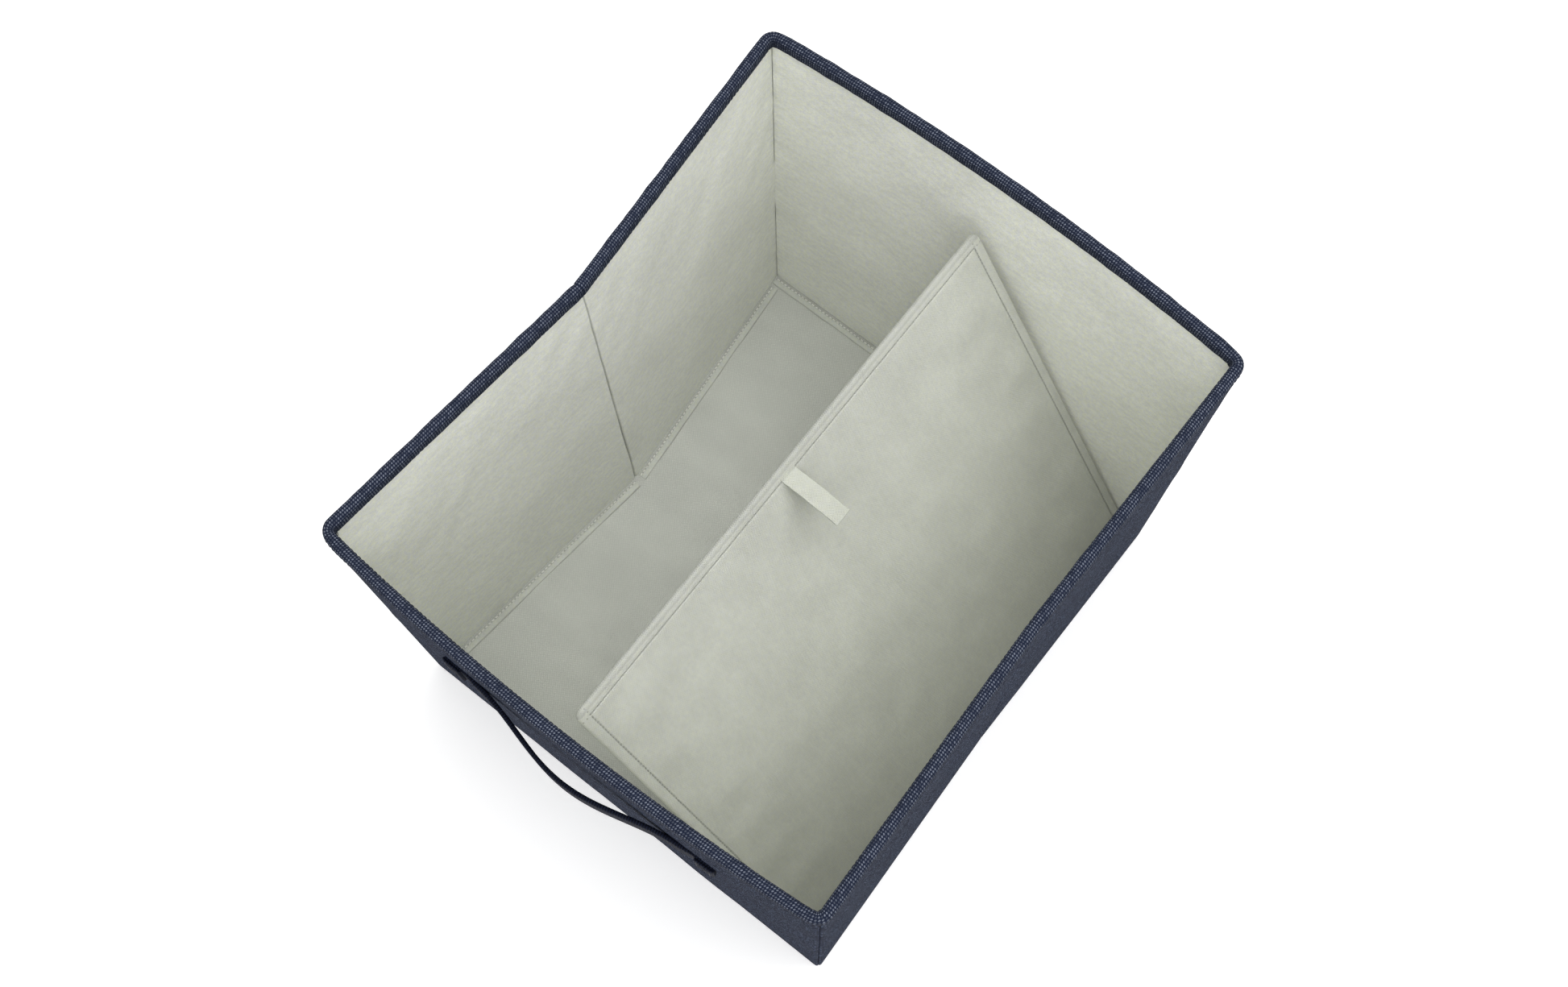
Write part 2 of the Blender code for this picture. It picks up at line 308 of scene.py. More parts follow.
class Run:
    """Half of the bin's walls, from crease to crease, on the middle of their thickness.

    A station is a place along it, known by its plan at the base and at the rim and by its outward
    way. Corners are rounded to a radius. The rear run's last stations reach past the left crease,
    to be tucked under the front run's end.
    """

    RAMP = 0.012
    CREASE_STEPS = np.array((0.0003, 0.0006, 0.0010, 0.0016))
    TUCK_BACK = 0.0004
    TUCK_REACH = (0.0003, 0.0008, 0.0014)

    def __init__(self, name, radius, step=0.004, corner_steps=12, tuck=True):
        names = RUNS[name]
        low, high, out, turn = [], [], [], []
        ways = [self.out_of(wall) for wall in names]
        for k, wall in enumerate(names):
            _, end, bow = WALLS[wall]
            base, rim = wall_ends(wall)
            length = np.linalg.norm(rim[1] - rim[0])
            first = self.cut_back(ways[k - 1], ways[k], radius) if k else 0.0
            last = self.cut_back(ways[k], ways[k + 1], radius) if k < 2 else 0.0
            places = np.linspace(first, length - last, round(length / step) + 1)
            if k != 1:
                fine = self.CREASE_STEPS if k == 0 else length - self.CREASE_STEPS
                places = np.sort(np.append(places, fine))
            part = (places / length)[:, None]
            ramp = smooth(np.minimum(places, length - places), 0.0, self.RAMP)[:, None]
            low.append(base[0] + (base[1] - base[0]) * part)
            bulge = ways[k] * bow * 4 * part * (1 - part) * ramp
            high.append(rim[0] + (rim[1] - rim[0]) * part + bulge)
            out.append(np.repeat(ways[k][None], len(places), axis=0))
            turn.append(np.full(len(places), -1.0))
            if k < 2:
                share = (np.arange(1, corner_steps) / corner_steps)[:, None]
                mitre = (ways[k] + ways[k + 1]) / (1 + ways[k] @ ways[k + 1])
                angle = np.arccos(ways[k] @ ways[k + 1]) * share
                across = np.array((-ways[k][1], ways[k][0]))
                turned = ways[k] * np.cos(angle) + across * np.sin(angle)
                for plan, line in ((low, BASE), (high, RIM)):
                    plan.append(np.array(line[end]) - radius * mitre + radius * turned)
                out.append(turned)
                turn.append(share[:, 0])
        self.low, self.high, self.out, self.turn = (np.concatenate(rows) for rows in (low, high, out, turn))
        self.tucked = np.zeros(len(self.turn))
        # At the creases the section lies on the line between the two halves.
        beyond = {"front": ("left_rear", "right_rear"), "rear": ("right_front", "left_front")}[name]
        for station, wall in zip((0, -1), beyond):
            way, other = self.out[station], self.out_of(wall)
            self.out[station] = (way + other) / (1 + way @ other)
        if name == "rear" and tuck:
            self.add_tuck()
        self.along = distances(self.high)
        self.flat, self.laid = (self.turn < 0)[:, None], (self.tucked < 0.5)[:, None]
        last_fixed = self.along[self.tucked < 0.5][-1]
        self.from_crease = np.minimum(self.along, np.abs(last_fixed - self.along))

    def at_corner(self, width):
        """1 in the middle of a corner's rounding, falling to 0 this share of it away."""
        return np.where(self.flat, 0.0, bump(self.turn[:, None], 0.5, width))

    def crease_fold(self, width):
        """1 on the line of a crease, falling to 0 this far from it."""
        return 1 - smooth(self.from_crease[:, None], 0.0, width * np.where(self.laid, 1.0, 2.4))

    @staticmethod
    def out_of(wall):
        _, (start, end) = wall_ends(wall)
        return unit(np.array((end[1] - start[1], start[0] - end[0])))

    @staticmethod
    def cut_back(way, following, radius):
        """How far before a corner its rounding starts."""
        return radius * tan(np.arccos(way @ following) / 2)

    def add_tuck(self):
        way = unit(self.high[-1] - self.high[-2])
        self.high[-1] -= way * self.TUCK_BACK
        self.low[-1] -= way * self.TUCK_BACK
        for reach in self.TUCK_REACH:
            self.low = np.vstack((self.low, self.low[-1] + way * reach))
            self.high = np.vstack((self.high, self.high[-1] + way * reach))
            self.out = np.vstack((self.out, self.out[-2]))
            self.turn = np.append(self.turn, -1.0)
            self.tucked = np.append(self.tucked, 1.0)

    def place(self, offset, z):
        """The points at these distances outwards and these heights, for each station and level."""
        rise = (z / HEIGHT)[..., None]
        plan = self.low[:, None] * (1 - rise) + self.high[:, None] * rise
        return raised(plan + self.out[:, None] * offset[..., None], z)


def follow_fold(piece):
    """Bakes a front or rear piece's placing into its mesh."""
    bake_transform(piece)


def wall_cloth(name, half, radius, offsets, heights, swell, material, thick, lift=None):
    """A run's cloth, through levels at these distances outwards and heights."""
    run = Run(half, radius)
    z = np.broadcast_to(heights, (len(run.along), len(heights)))
    offset = np.array(offsets)[None] * (1 - 0.25 * run.tucked[:, None])
    along = np.broadcast_to(run.along[:, None], z.shape)
    offset = offset + swell(run, along, z)
    if lift:
        z = z + lift(run, z)
    rows = distances(joined(offsets, heights))
    piece = lay(name, run.place(offset, z), joined(along, rows), material, thick=thick)
    flat = (float(run.along[-1]), float(rows[-1]))
    return piece, run, flat


# ---- materials


def put(socket, value):
    """Gives a socket a value or links it to another node's output."""
    if isinstance(value, bpy.types.NodeSocket):
        socket.id_data.links.new(value, socket)
    elif value is not None:
        socket.default_value = value


def fill(node, values):
    for key, value in values.items():
        put(node.inputs[key], value)
    return node


class Graph:
    """The nodes of one material. Patterns are worked out on the cloth's flat cut, in metres."""

    def __init__(self, name):
        self.material = bpy.data.materials.new(name)
        self.material.use_nodes = True
        self.tree = self.material.node_tree
        self.shader = self.tree.nodes["Principled BSDF"]
        self.cut = self.node("ShaderNodeUVMap", uv_map=CLOTH).outputs["UV"]
        split = self.node("ShaderNodeSeparateXYZ", self.cut)
        self.u, self.v = split.outputs["X"], split.outputs["Y"]

    def node(self, kind, *values, **settings):
        made = self.tree.nodes.new(kind)
        for key, value in settings.items():
            setattr(made, key, value)
        return fill(made, dict(enumerate(values)))

    def math(self, operation, a, b=0.0):
        return self.node("ShaderNodeMath", a, b, 0.0, operation=operation).outputs[0]

    def add(self, a, b):
        return self.math("ADD", a, b)

    def less(self, a, b):
        return self.math("SUBTRACT", a, b)

    def times(self, a, b):
        return self.math("MULTIPLY", a, b)

    def apart(self, a, b):
        return self.math("ABSOLUTE", self.less(a, b))

    def wave(self, kind, value, length):
        """The sine or cosine of value, once round for each length of it."""
        return self.math(kind, self.times(value, 2 * pi / length))

    def mapped(self, size, stretch=(1.0, 1.0), turn=0.0):
        """The cut in steps of this size, drawn out by stretch along u and v."""
        scale = (1 / (size * stretch[0]), 1 / (size * stretch[1]), 1.0)
        made = self.node("ShaderNodeMapping", self.cut)
        return fill(made, {"Scale": scale, "Rotation": (0.0, 0.0, turn)}).outputs[0]

    def noise(self, size, detail=2.0, rough=0.5, stretch=(1.0, 1.0), turn=0.0):
        made = self.node("ShaderNodeTexNoise", self.mapped(size, stretch, turn))
        return fill(made, {"Scale": 1.0, "Detail": detail, "Roughness": rough}).outputs[0]

    def random(self, a, b, seed=0.0):
        """A value for each whole step of a and b."""
        cell = self.node("ShaderNodeCombineXYZ", self.math("FLOOR", a), self.math("FLOOR", b), seed)
        return self.node("ShaderNodeTexWhiteNoise", cell.outputs[0]).outputs["Value"]

    def between(self, value, low, high, to_low=0.0, to_high=1.0):
        """value from low..high brought to to_low..to_high, softly, and held beyond."""
        limits = (low, high, to_low, to_high)
        return self.node("ShaderNodeMapRange", value, *limits, interpolation_type="SMOOTHSTEP").outputs[0]

    def mix(self, share, first, second):
        first, second = ((*c, 1.0) if isinstance(c, tuple) else c for c in (first, second))
        made = self.node("ShaderNodeMix", data_type="RGBA")
        return fill(made, {0: share, 6: first, 7: second}).outputs[2]

    def shade(self, colour, *shades):
        """colour made darker and lighter by each depth as the value with it goes from 0 to 1."""
        for value, depth in shades:
            grey = self.between(value, 0.0, 1.0, 1.0 - depth, 1.0 + depth)
            made = fill(self.node("ShaderNodeVectorMath", colour, operation="SCALE"), {"Scale": grey})
            colour = made.outputs[0]
        return colour

    def finish(self, colour, roughness, height, depth, sheen=0.0, shine=0.3):
        """Joins colour, roughness and a height field depth metres deep to the shader."""
        relief = fill(self.node("ShaderNodeBump"), {"Strength": 1.0, "Distance": depth, "Height": height})
        fill(self.shader, {
            "Metallic": 0.0, "Base Color": colour, "Roughness": roughness, "Specular IOR Level": shine,
            "Sheen Weight": sheen, "Sheen Roughness": 0.5, "Normal": relief.outputs[0],
        })
        return self.material


def woven(graph, a, b, crown, fill):
    """(height, 1 where the first yarn is on top) of a plain weave with one yarn to each step of a and b.

    crown rounds a yarn across its width, and fill along its float.
    """
    cells = graph.add(graph.math("FLOOR", a), graph.math("FLOOR", b))
    over = graph.times(graph.math("FRACT", graph.times(cells, 0.5)), 2.0)
    round_a, round_b = (graph.math("ABSOLUTE", graph.wave("SINE", steps, 2.0)) for steps in (a, b))
    warp, weft = (graph.times(graph.math("POWER", across, crown), graph.math("POWER", along, fill))
                  for across, along in ((round_a, round_b), (round_b, round_a)))
    return graph.node("ShaderNodeMix", over, weft, warp).outputs[0], over


def melange_cloth(name, pitch, dark, pale, pale_share, depth):
    """A plain weave of dark and pale yarns, mixed along each yarn."""
    graph = Graph(name)
    a, b = (graph.math("DIVIDE", place, pitch) for place in (graph.u, graph.v))
    height, over = woven(graph, a, b, 1.0, 0.45)
    warp = graph.random(a, graph.times(b, 0.35), 3.0)
    weft = graph.random(graph.times(a, 0.35), b, 7.0)
    yarn = graph.node("ShaderNodeMix", over, weft, warp).outputs[0]
    cloudy = graph.noise(0.0030, 3.0, 0.65)
    yarn = graph.add(yarn, graph.times(graph.less(cloudy, 0.5), 1.6))
    pale_part = graph.between(yarn, 1.0 - pale_share - 0.15, 1.0 - pale_share + 0.15)
    colour = graph.mix(pale_part, dark, pale)
    # height paints the low parts of the weave darker: painted shade between the yarns.
    colour = graph.shade(colour, (height, 0.42), (graph.noise(0.045, 3.0, 0.55), 0.16))
    fuzz = graph.noise(0.0005, 2.0, 0.6)
    relief = graph.add(height, graph.times(fuzz, 0.5))
    roughness = graph.between(fuzz, 0.2, 0.8, 0.82, 0.95)
    return graph.finish(colour, roughness, relief, depth, shine=0.06)


def bias_binding(name, pitch, dark, pale):
    """The binding's coarse cloth, cut on the bias: yarns that slant both ways, each float a pale tick."""
    graph = Graph(name)
    wander = graph.times(graph.less(graph.noise(0.008, 2.0), 0.5), 0.5)
    slants = (graph.add(graph.u, graph.v), graph.less(graph.u, graph.v))
    a, b = (graph.add(graph.math("DIVIDE", slant, pitch * 1.4142), wander) for slant in slants)
    height, over = woven(graph, a, b, 1.2, 0.25)
    yarn = graph.random(a, b, 5.0)
    strand = graph.noise(0.0005, 2.0, 0.6)
    lit = graph.times(graph.between(height, 0.15, 0.62), graph.between(yarn, -0.1, 0.9, 0.24, 1.0))
    lit = graph.times(lit, graph.between(over, 0.0, 1.0, 0.62, 1.0))
    lit = graph.times(lit, graph.between(strand, 0.3, 0.65, 0.65, 1.0))
    colour = graph.shade(graph.mix(lit, dark, pale), (graph.noise(0.03, 3.0), 0.10))
    relief = graph.add(height, graph.times(strand, 0.2))
    roughness = graph.between(strand, 0.2, 0.8, 0.78, 0.92)
    return graph.finish(colour, roughness, relief, 0.00035, shine=0.10)


def painted_hole_and_edge_shade(graph):
    """Painted shade: 1 in the needle holes of the insert's hem, and part of it on its free edge."""
    found = 0.0
    lines = ((graph.u, graph.v, (HEM, INSERT_WIDTH - HEM)),
             (graph.v, graph.u, (INSERT_FRONT + HEM, INSERT_BACK - HEM)))
    for across, along, places in lines:
        step = graph.wave("COSINE", along, PANEL_STITCH)
        holes = graph.between(step, 0.35, 0.85, 0.05, 1.0)
        for place in places:
            line = graph.between(graph.apart(across, place), 0.00025, 0.00065, 1.0, 0.0)
            line = graph.times(line, holes)
            found = graph.math("MAXIMUM", found, line)
    # Painted shade along the rolled free edge, against the light it catches.
    edge = graph.between(graph.u, INSERT_WIDTH - 0.0040, INSERT_WIDTH - 0.0022, 0.0, 0.55)
    return graph.math("MAXIMUM", found, edge)


def painted_seam_shade(graph):
    """Painted shade: 1 along the edges of a sewn strip, whose cut has its width along v, and part of it in
    its groove.
    """
    near = graph.between(graph.v, SEAM_STEP, SEAM_STEP + 0.0009, 1.0, 0.0)
    far = graph.between(graph.v, SEAM_STEP + SEAM_WIDTH - 0.0010, SEAM_STEP + SEAM_WIDTH, 0.0, 0.6)
    off = graph.apart(graph.v, SEAM_STEP + SEAM_STITCHED * SEAM_WIDTH)
    groove = graph.between(off, 0.0004, 0.0009, 0.5, 0.0)
    return graph.math("MAXIMUM", graph.math("MAXIMUM", near, far), groove)


def painted_fold_shade(graph):
    """Painted shade: 1 on the lines where the walls' lining folds, at its corners and creases, as stored on
    the wall linings.
    """
    return graph.node("ShaderNodeAttribute", attribute_name=FOLD_SHADE).outputs["Fac"]


def bonded_lining(name, base, pitch, dot_depth, dot_shade, mottle, speck, painted_shade_in=None):
    """Non-woven lining with a fine embossed pattern of dots, cloudy fibres and warm specks.

    The last argument gives painted shade: where the lining folds, is sewn or has needle holes, and on the
    insert's free edge, it is painted darker and made lower.
    """
    graph = Graph(name)
    wave = graph.times(graph.wave("COSINE", graph.u, pitch), graph.wave("COSINE", graph.v, pitch))
    dots = graph.between(wave, 0.0, 0.8)
    worn = graph.between(graph.noise(0.025, 3.0, 0.6), 0.35, 0.65, 0.60, 1.0)
    dots = graph.times(dots, worn)
    fibres = graph.between(graph.noise(0.0011, 3.0, 0.65), 0.28, 0.72)
    cloud = graph.between(graph.noise(0.0040, 4.0, 0.65), 0.30, 0.70)
    wide = graph.noise(0.060, 3.0, 0.5)
    warm = (base[0] * 1.03, base[1] * 1.03, base[2] * 0.93)
    cool = (base[0] * 0.97, base[1] * 0.97, base[2] * 1.03)
    tint = graph.between(graph.noise(0.0028, 3.0, 0.75), 0.36, 0.64, 0.5 - speck / 2, 0.5 + speck / 2)
    streaks = graph.between(graph.noise(0.009, 4.0, 0.6, stretch=(2.4, 0.6), turn=0.35), 0.3, 0.7)
    # Of these, wide and streaks are painted soft shade of the lining's loose folds.
    colour = graph.shade(graph.mix(tint, cool, warm), (graph.less(1.0, dots), dot_shade), (fibres, mottle),
                         (cloud, mottle * 0.8), (wide, 0.06), (streaks, mottle * 0.5))
    relief = graph.less(graph.times(fibres, 0.5), dots)
    # Painted shade from the last argument: darker colour, and lower relief, where it gives 1.
    if painted_shade_in:
        dark = painted_shade_in(graph)
        colour = graph.mix(graph.times(dark, 0.55), colour, tuple(0.30 * part for part in base))
        relief = graph.less(relief, dark)
    roughness = graph.between(fibres, 0.2, 0.8, 0.74, 0.90)
    return graph.finish(colour, roughness, relief, dot_depth, sheen=0.08)


def floor_weave(name, base, pitch):
    """The floor's lining: the same non-woven, with a finer square embossing like a weave."""
    graph = Graph(name)
    a, b = (graph.math("DIVIDE", place, pitch) for place in (graph.u, graph.v))
    height, over = woven(graph, a, b, 1.0, 0.45)
    fibres = graph.between(graph.noise(0.0010, 3.0, 0.6), 0.28, 0.72)
    slack = graph.noise(0.05, 3.0, stretch=(1.6, 0.7), turn=0.4)
    # height paints the low parts of the weave darker, painted shade between the yarns; slack adds broad
    # painted shade of the floor's soft folds.
    colour = graph.shade(graph.mix(0.0, base, base), (height, 0.10), (fibres, 0.05), (slack, 0.11))
    relief = graph.add(height, graph.times(fibres, 0.35))
    roughness = graph.between(over, 0.0, 1.0, 0.70, 0.84)
    return graph.finish(colour, roughness, relief, 0.00016, sheen=0.08)


def webbing(name, base, rib):
    """Near-black strap webbing with ribs across it and a fine twill in them."""
    graph = Graph(name)
    ribs = graph.wave("SINE", graph.u, rib)
    lift = graph.between(ribs, -1.0, 1.0)
    twill = graph.wave("SINE", graph.add(graph.u, graph.v), 0.0006)
    fuzz = graph.noise(0.0006, 3.0)
    colour = graph.mix(graph.between(fuzz, 0.45, 0.8), base, (0.022, 0.029, 0.060))
    # Painted shade between the ribs.
    colour = graph.shade(colour, (lift, 0.5))
    relief = graph.add(lift, graph.times(twill, 0.2))
    roughness = graph.between(fuzz, 0.2, 0.8, 0.62, 0.82)
    return graph.finish(colour, roughness, relief, 0.0003, shine=0.10)


def thread(name, base):
    """Twisted sewing thread."""
    graph = Graph(name)
    twist = graph.wave("SINE", graph.add(graph.u, graph.v), 0.0005)
    # Painted shade in the grooves of the twist.
    colour = graph.shade(graph.mix(0.0, base, base), (graph.between(twist, -1.0, 1.0), 0.16))
    roughness = graph.between(graph.noise(0.002), 0.3, 0.7, 0.50, 0.65)
    return graph.finish(colour, roughness, twist, 0.00008, sheen=0.1)


def grey_board(name, base):
    """Plain pulp board: flecked, with fibres."""
    graph = Graph(name)
    flecks = graph.noise(0.0012, 5.0, 0.7, stretch=(2.5, 1.0))
    colour = graph.mix(graph.between(flecks, 0.55, 0.75), base, (0.22, 0.20, 0.17))
    colour = graph.shade(colour, (flecks, 0.12))
    roughness = graph.between(flecks, 0.3, 0.7, 0.80, 0.92)
    return graph.finish(colour, roughness, flecks, 0.0001)


OUTER = melange_cloth("outer_melange", 0.00066, (0.0110, 0.0158, 0.0360), (0.098, 0.122, 0.190), 0.36,
                      0.00022)
BINDING = bias_binding("rim_binding", 0.00108, (0.0100, 0.0145, 0.0310), (0.262, 0.292, 0.366))
# The wall lining gets painted shade along its corner slits and creases.
WALL_LINING = bonded_lining("wall_lining", (0.845, 0.858, 0.808), 0.0013, 0.00010, 0.045, 0.050, 0.9,
                            painted_shade_in=painted_fold_shade)
# The seam strips are the walls' lining folded double; their darker base colour is painted shade.
SEAM_LINING = bonded_lining("seam_lining", (0.570, 0.584, 0.540), 0.0011, 0.00014, 0.090, 0.040, 0.6,
                            painted_shade_in=painted_seam_shade)
PANEL_LINING = bonded_lining("insert_lining", (0.510, 0.521, 0.482), 0.0013, 0.00020, 0.100, 0.030, 0.5,
                             painted_shade_in=painted_hole_and_edge_shade)
# The tab is the same lining as the insert, folded double; its darker base colour is painted shade.
TAB_LINING = bonded_lining("tab_lining", (0.455, 0.468, 0.420), 0.0013, 0.00018, 0.100, 0.030, 0.4)
# The floor's lining is the walls' non-woven; its darker base colour is painted shade.
FLOOR_LINING = floor_weave("floor_lining_weave", (0.612, 0.625, 0.580), 0.0009)
WEBBING = webbing("handle_webbing", (0.0045, 0.0062, 0.0150), 0.0016)
PALE_THREAD = thread("pale_thread", (0.94, 0.95, 0.89))
PANEL_THREAD = thread("panel_thread", (0.42, 0.43, 0.39))
NAVY_THREAD = thread("navy_thread", (0.012, 0.016, 0.034))
BOARD = grey_board("grey_board", (0.30, 0.29, 0.27))


# ---- walls


def lining_swell(run, along, z):
    """The lining lies a little loose between its seams, and goes further out in corners and creases."""
    loose = smooth(z, 0.0, 0.03) * (1 - smooth(z, 0.30, 0.320)) * run.flat * run.laid
    soft = unevenness(along, z, 11, 0.085) * 0.40 + unevenness(along * 2.2, z, 12, 0.05) * 0.12
    drawn = unevenness(along * 1.6 + z * 0.9, z * 0.25, 13, 0.045, 4) * smooth(z, 0.10, 0.26) * 0.26
    crease = run.crease_fold(LINING_CREASE) * (1.6 - 0.9 * smooth(z, 0.14, 0.31))
    return ((soft + drawn - 0.25) * loose + run.at_corner(0.24) * 1.6 + crease) * MM


def cover_swell(run, along, z):
    """The cover is drawn in at each corner's seam and under the binding, and hangs a little loose between."""
    loose = smooth(z, 0.0, 0.02) * (1 - smooth(z, 0.30, 0.319)) * run.flat * run.laid
    soft = unevenness(along, z, 21, 0.10) * 0.35 + unevenness(along, z, 22, 0.03) * 0.06
    seam = run.at_corner(0.12) * 2.2 * (0.2 + 0.8 * smooth(z, 0.003, 0.010))
    in_corner = run.at_corner(0.45) * smooth(z, 0.305, 0.320) * 1.1
    drawn_in = np.maximum(seam, in_corner) + smooth(z, 0.308, 0.320) * run.flat * 0.30
    return ((soft + 0.25) * loose - drawn_in - run.crease_fold(0.0016) * 0.7) * MM


def cover_lift(run, z):
    """Each wall's lower corner is rounded by itself beside the seam."""
    return run.at_corner(0.28) * 3.6 * MM * (1 - smooth(z, 0.0, 0.012))


RIM_ARC = np.linspace(pi, 0, 13)
STRIP = RIM_HALF - RIM_CLOTH / 2
# From the tucked-in edge up one side: distances from the strip's middle line and above its bottom.
RIM_SIDE = np.array((
    (-0.40, 1.3), (-0.35, 0.7), (-0.25, 0.45), (-0.1, 1.0), (0.05, 2.4), (0.05, 4.2),
)) * MM + (STRIP, RIM_BOTTOM)
RIM_PROFILE = np.concatenate((
    RIM_SIDE * (-1, 1),
    [(STRIP * cos(angle), RIM_CENTRE + STRIP * sin(angle)) for angle in RIM_ARC],
    RIM_SIDE[::-1],
))


def rim_strip(half):
    """The binding folded over the walls' top, and the stitches through both its edges."""
    run = Run(half, RIM_ROUND, step=0.003, corner_steps=16)
    offset, z = (np.broadcast_to(column, (len(run.along), len(RIM_PROFILE))) for column in RIM_PROFILE.T)
    along = run.along[:, None]
    lump = 1 + 0.030 * unevenness(along, 0.0, 31, 0.022) + 0.018 * unevenness(along, 0.0, 32, 0.007)
    turn = run.turn[:, None]
    pinch = 1 - 0.05 * np.where(run.flat, 0.0, np.sin(turn * pi)) * np.sin(turn * pi * 7) ** 2
    shrink = lump * pinch * (1 - 0.26 * run.tucked[:, None])
    ends = np.minimum(np.abs(run.along - run.along[0]), np.abs(run.along[-1] - run.along))[:, None]
    shrink = shrink * (1 - 0.09 * bump(ends, 0.0, 0.0022))
    offset = offset * shrink
    z = RIM_CENTRE - 0.003 + (z - RIM_CENTRE + 0.003) * (0.35 + 0.65 * shrink)
    offset = np.maximum(offset, np.where(run.flat, -1.0, 0.2 * MM - RIM_ROUND))
    section = distances(RIM_PROFILE)
    cut = joined(along, section - section[-1] / 2)
    strip = lay(f"{half}_rim_binding", run.place(offset, z), cut, BINDING, thick=RIM_CLOTH)
    follow_fold(strip)
    belong(strip, "rim_cloth", *(f"{wall}_rim" for wall in RUNS[half]))
    for side, name in ((-1, "inner"), (1, "outer")):
        edge = np.full((len(run.along), 1), side * (RIM_HALF + 0.05 * MM))
        line = run.place(edge, np.full_like(edge, RIM_BOTTOM + 2.0 * MM))[:, 0]
        out = raised(run.out * side, 0.0)
        keep = run.tucked < 0.5
        stitches = sew(f"{half}_rim_{name}_stitches", line[keep], out[keep], NAVY_THREAD, 0.0030, 0.0022,
                       0.20 * MM, 41, sink=0.5)
        follow_fold(stitches)
        belong(stitches, "rim_cloth")


def wall_boards():
    """The stiffening boards inside the walls."""
    bevel = 0.3 * MM
    low, high = BOARD_HEIGHTS
    inner, outer = BOARD_INNER, BOARD_OUTER
    ring = np.array((
        (inner, low + bevel), (inner, high - bevel), (inner + bevel, high), (outer - bevel, high),
        (outer, high - bevel), (outer, low + bevel), (outer - bevel, low), (inner + bevel, low),
    ))
    for name, (start, end, bow) in WALLS.items():
        base, rim = wall_ends(name)
        out = Run.out_of(name)
        length = np.linalg.norm(rim[1] - rim[0])
        crease = 0.0046 if name.startswith("left") else 0.0016
        trims = [crease if "crease" in corner else 0.0045 for corner in (start, end)]
        part = np.linspace(trims[0] / length, 1 - trims[1] / length, 13)[:, None, None]
        offset, z = ring.T[..., None]
        rise = z / HEIGHT
        low_line, high_line = (line[0] * (1 - part) + line[1] * part for line in (base, rim))
        plan = low_line * (1 - rise) + high_line * rise
        plan = plan + out * (bow * 4 * part * (1 - part) * rise + offset)
        board = tube(f"{name}_stiffener", raised(plan, z[:, 0]), BOARD)
        board.data.set_sharp_from_angle(angle=radians(30))
        belong(board, "grey_board", f"{name}_board", body=wall_body(name))


def mark_painted_fold_shade(piece, run):
    """Stores where a wall's cloth folds, at its corners and creases, for the painted shade that its material
    puts there.
    """
    line = (run.at_corner(0.26) + run.crease_fold(LINING_CREASE))[:, 0]
    levels = len(piece.data.vertices) // len(run.along) // 2
    values = np.tile(np.repeat(np.minimum(line, 1.0), levels), 2)
    piece.data.attributes.new(FOLD_SHADE, "FLOAT", "POINT").data.foreach_set("value", values.astype(np.float32))


def walls():
    wall_boards()
    for half in RUNS:
        heights = np.concatenate(((0.0027, 0.0035), np.linspace(0.006, 0.3240, 70)))
        offsets = np.full(len(heights), LINING_AT)
        lining, run, flat = wall_cloth(f"{half}_wall_lining", half, LINING_ROUND, offsets, heights,
                                       lining_swell, WALL_LINING, LINING_THICK)
        mark_painted_fold_shade(lining, run)
        follow_fold(lining)
        belong(lining, "lining", *(f"{wall}_lining" for wall in RUNS[half]))
        heights = np.concatenate(((0.0012, 0.00125, 0.0016, 0.0024, 0.0036), np.linspace(0.007, 0.3235, 66)))
        offsets = np.full(len(heights), COVER_AT)
        offsets[:4] = (0.2 * MM, 0.9 * MM, 1.45 * MM, 1.8 * MM)
        cover, _, flat = wall_cloth(f"{half}_wall_cover", half, COVER_ROUND, offsets, heights, cover_swell,
                                    OUTER, COVER_THICK, cover_lift)
        follow_fold(cover)
        belong(cover, "outer_cloth", *(f"{wall}_cover" for wall in RUNS[half]))
        rim_strip(half)


# ---- floor and base


def side_line(y, side):
    """The base's edge at y, on the middle of the left or right wall."""
    hand = "left" if side < 0 else "right"
    places = np.array([BASE[name] for name in (f"front_{hand}", f"{hand}_crease", f"back_{hand}")])
    return np.interp(y, places[:, 1], places[:, 0])


def ground_cloth(name, half, inset, z, ripple, material, thick, cut_slot, node):
    """Half of the floor's lining or of the base's cover."""
    overlap = 0.0035
    front = BASE["front_left"][1] + inset
    back = BASE["back_left"][1] - inset
    lap = overlap if half == "front" else 0.0
    span = (front, lap) if half == "front" else (0.0, back)
    y = np.linspace(*span, 64)[:, None]
    share = np.linspace(0, 1, 100)[None]
    left, right = side_line(y, -1) + inset, side_line(y, 1) - inset
    x = left + (right - left) * share
    y = np.broadcast_to(y, x.shape)
    edge = np.minimum.reduce([x - left, right - x, y - front, back - y])
    height = z + ripple(x, y) * smooth(edge, 0.004, 0.03)
    # Where the halves overlap, the front one runs just under the rear one.
    height = height - 0.16 * MM * smooth(y, 0.0, 0.0006) * (half == "front")
    points = joined(x, y, height)
    piece = lay(name, points, points[..., :2], material, thick=thick)
    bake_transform(piece)
    belong(piece, cut_slot, *([node] if half == "front" else []))


def floor_ripple(x, y):
    """Slack in the floor: soft ripples along the bin, and one from the back left corner."""
    soft = unevenness(x * 1.5, y * 0.6, 51, 0.075) * 0.46 * MM
    from_corner = bump(x * 0.97 + y * 0.24, -0.098, 0.006) * smooth(y, 0.02, 0.12) * 0.9 * MM
    return soft + from_corner + 0.2 * MM


def base_ripple(x, y):
    return unevenness(x, y, 61, 0.09) * 0.06 * MM + 0.06 * MM


